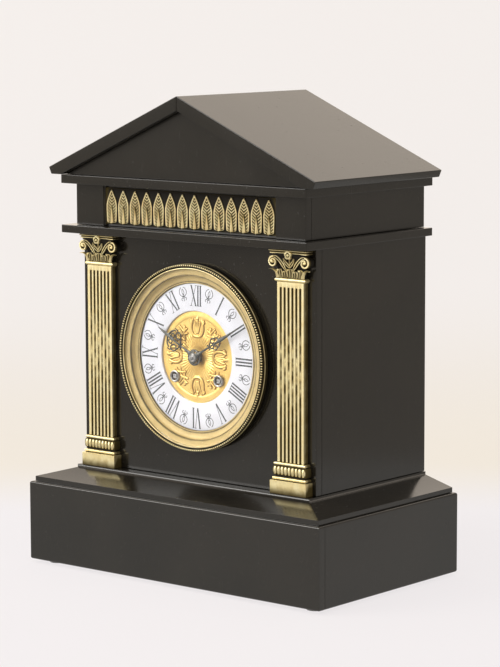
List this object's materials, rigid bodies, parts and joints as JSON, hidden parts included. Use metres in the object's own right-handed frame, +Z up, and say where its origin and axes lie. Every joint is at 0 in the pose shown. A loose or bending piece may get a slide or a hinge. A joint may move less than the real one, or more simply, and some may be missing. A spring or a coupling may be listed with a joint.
{
  "type": "marble mantel clock",
  "caption": "Black slate mantel clock shaped as a small temple, with gilt pilasters, a hinged glazed bezel, a pendulum movement that strikes a bell and a rear door.",
  "frame": {"origin": "below the middle of the base, on the surface that the feet stand on", "axes": "+X to the right seen from the dial side, +Y to the rear, +Z up"},
  "size_m": [0.3, 0.1774, 0.3832],
  "materials": {
    "black_slate": "polished black slate",
    "core_stone": "rough dark stone and plaster",
    "gilt_brass": "gilt, dark patina in the hollows",
    "brass": "plain brass",
    "blued_steel": "grey polished steel",
    "enamel": "glossy white enamel",
    "glass": "clear"
  },
  "bodies": {
    "case": {"dial_pan": "brass", "chapter_ring": "enamel", "dial_centre": "gilt_brass", "movement_front_plate": "brass", "movement_back_plate": "brass", "bell": "brass", "bell_stand": "brass", "suspension_cock": "brass", "case_strap_left": "blued_steel", "case_strap_right": "blued_steel", "rear_bezel_ring": "brass", "foot_front_left": "black_slate", "foot_rear_left": "black_slate", "foot_front_right": "black_slate", "foot_rear_right": "black_slate", "base_front_slab": "black_slate", "base_left_slab": "black_slate", "base_right_slab": "black_slate", "base_core_block": "core_stone", "base_cap_moulding": "black_slate", "case_front_panel": "black_slate", "case_left_panel": "black_slate", "case_right_panel": "black_slate", "case_back_panel": "black_slate", "architrave_slab": "black_slate", "cornice_slab": "black_slate", "frieze_front_slab": "black_slate", "frieze_core_block": "black_slate", "roof_left_slab": "black_slate", "roof_right_slab": "black_slate", "tympanum_front": "black_slate", "tympanum_rear": "black_slate", "palmette_frieze": "gilt_brass", "pilaster_left_base": "gilt_brass", "pilaster_left_shaft": "gilt_brass", "pilaster_left_capital": "gilt_brass", "pilaster_right_base": "gilt_brass", "pilaster_right_shaft": "gilt_brass", "pilaster_right_capital": "gilt_brass"},
    "bezel": {"bezel_ring": "gilt_brass", "bezel_glass": "glass", "bezel_sight_ring": "gilt_brass"},
    "back_door": {"rear_door": "brass"},
    "minute_arbor": {"centre_wheel": "brass", "cannon_pinion": "blued_steel", "minute_hand": "blued_steel"},
    "hour_arbor": {"hour_wheel": "brass", "hour_hand": "blued_steel"},
    "minute_stud_wheel": {"minute_wheel": "brass"},
    "intermediate_arbor": {"intermediate_wheel": "brass"},
    "going_barrel": {"time_barrel": "brass"},
    "third_arbor": {"third_wheel": "brass"},
    "escape_arbor": {"escape_wheel": "brass"},
    "time_key_arbor": {"time_winding_arbor": "blued_steel"},
    "strike_key_arbor": {"strike_winding_arbor": "blued_steel"},
    "striking_barrel": {"strike_barrel": "brass"},
    "pin_wheel_arbor": {"strike_pin_wheel": "brass"},
    "hammer": {"strike_hammer": "blued_steel"},
    "anchor": {"pallet_anchor": "blued_steel"},
    "pendulum_bob": {"pendulum": "brass"}
  },
  "joints": [
    {"name": "bezel_hinge", "type": "hinge", "parent": "case", "child": "bezel", "pos_m": [-0.073, -0.05665, 0.1784], "axis": [0, 0, -1], "range_deg": [0, 110]},
    {"name": "rear_door_hinge", "type": "hinge", "parent": "case", "child": "back_door", "pos_m": [0.0682, 0.0876, 0.1784], "axis": [0, 0, -1], "range_deg": [0, 120]},
    {"name": "minute_hand_turn", "type": "hinge", "parent": "case", "child": "minute_arbor", "pos_m": [0, -0.02, 0.1784], "axis": [0, 1, 0], "continuous": true},
    {"name": "hour_hand_turn", "type": "hinge", "parent": "case", "child": "hour_arbor", "pos_m": [0, -0.045, 0.1784], "axis": [0, 1, 0], "continuous": true},
    {"name": "minute_wheel_turn", "type": "hinge", "parent": "case", "child": "minute_stud_wheel", "pos_m": [-0.01039, -0.04, 0.1844], "axis": [0, 1, 0], "continuous": true},
    {"name": "intermediate_wheel_turn", "type": "hinge", "parent": "case", "child": "intermediate_arbor", "pos_m": [0.01691, -0.02, 0.18514], "axis": [0, 1, 0], "continuous": true},
    {"name": "time_barrel_turn", "type": "hinge", "parent": "case", "child": "going_barrel", "pos_m": [0.0225, -0.024, 0.1614], "axis": [0, 1, 0], "continuous": true},
    {"name": "third_wheel_turn", "type": "hinge", "parent": "case", "child": "third_arbor", "pos_m": [-0.00922, -0.02, 0.19386], "axis": [0, 1, 0], "continuous": true},
    {"name": "escape_wheel_turn", "type": "hinge", "parent": "case", "child": "escape_arbor", "pos_m": [0, -0.02, 0.2044], "axis": [0, 1, 0], "continuous": true},
    {"name": "time_winding", "type": "hinge", "parent": "case", "child": "time_key_arbor", "pos_m": [0.0225, -0.04, 0.1614], "axis": [0, 1, 0], "continuous": true},
    {"name": "strike_winding", "type": "hinge", "parent": "case", "child": "strike_key_arbor", "pos_m": [-0.0225, -0.04, 0.1614], "axis": [0, 1, 0], "continuous": true},
    {"name": "strike_barrel_turn", "type": "hinge", "parent": "case", "child": "striking_barrel", "pos_m": [-0.0225, -0.024, 0.1614], "axis": [0, 1, 0], "continuous": true},
    {"name": "pin_wheel_turn", "type": "hinge", "parent": "case", "child": "pin_wheel_arbor", "pos_m": [-0.02819, -0.02, 0.18511], "axis": [0, 1, 0], "continuous": true},
    {"name": "hammer_lift", "type": "hinge", "parent": "case", "child": "hammer", "pos_m": [-0.04432, 0, 0.18621], "axis": [0, 1, 0], "range_deg": [-14, 0]},
    {"name": "pendulum_swing", "type": "hinge", "parent": "case", "child": "pendulum_bob", "pos_m": [0, 0.006, 0.2154], "axis": [0, 1, 0], "range_deg": [-3, 3]},
    {"name": "anchor_rock", "type": "hinge", "parent": "case", "child": "anchor", "pos_m": [0, -0.018, 0.2154], "axis": [0, 1, 0], "range_deg": [-3.2, 3.2]}
  ],
  "couplings": [
    {"joint": "hour_hand_turn", "follows": "minute_hand_turn", "ratio": 0.083333},
    {"joint": "minute_wheel_turn", "follows": "minute_hand_turn", "ratio": -0.33333},
    {"joint": "intermediate_wheel_turn", "follows": "minute_hand_turn", "ratio": -0.16667},
    {"joint": "time_barrel_turn", "follows": "minute_hand_turn", "ratio": 0.027778},
    {"joint": "third_wheel_turn", "follows": "minute_hand_turn", "ratio": -8},
    {"joint": "escape_wheel_turn", "follows": "minute_hand_turn", "ratio": 48},
    {"joint": "pin_wheel_turn", "follows": "strike_barrel_turn", "ratio": -6},
    {"joint": "anchor_rock", "follows": "pendulum_swing", "ratio": 1}
  ]
}
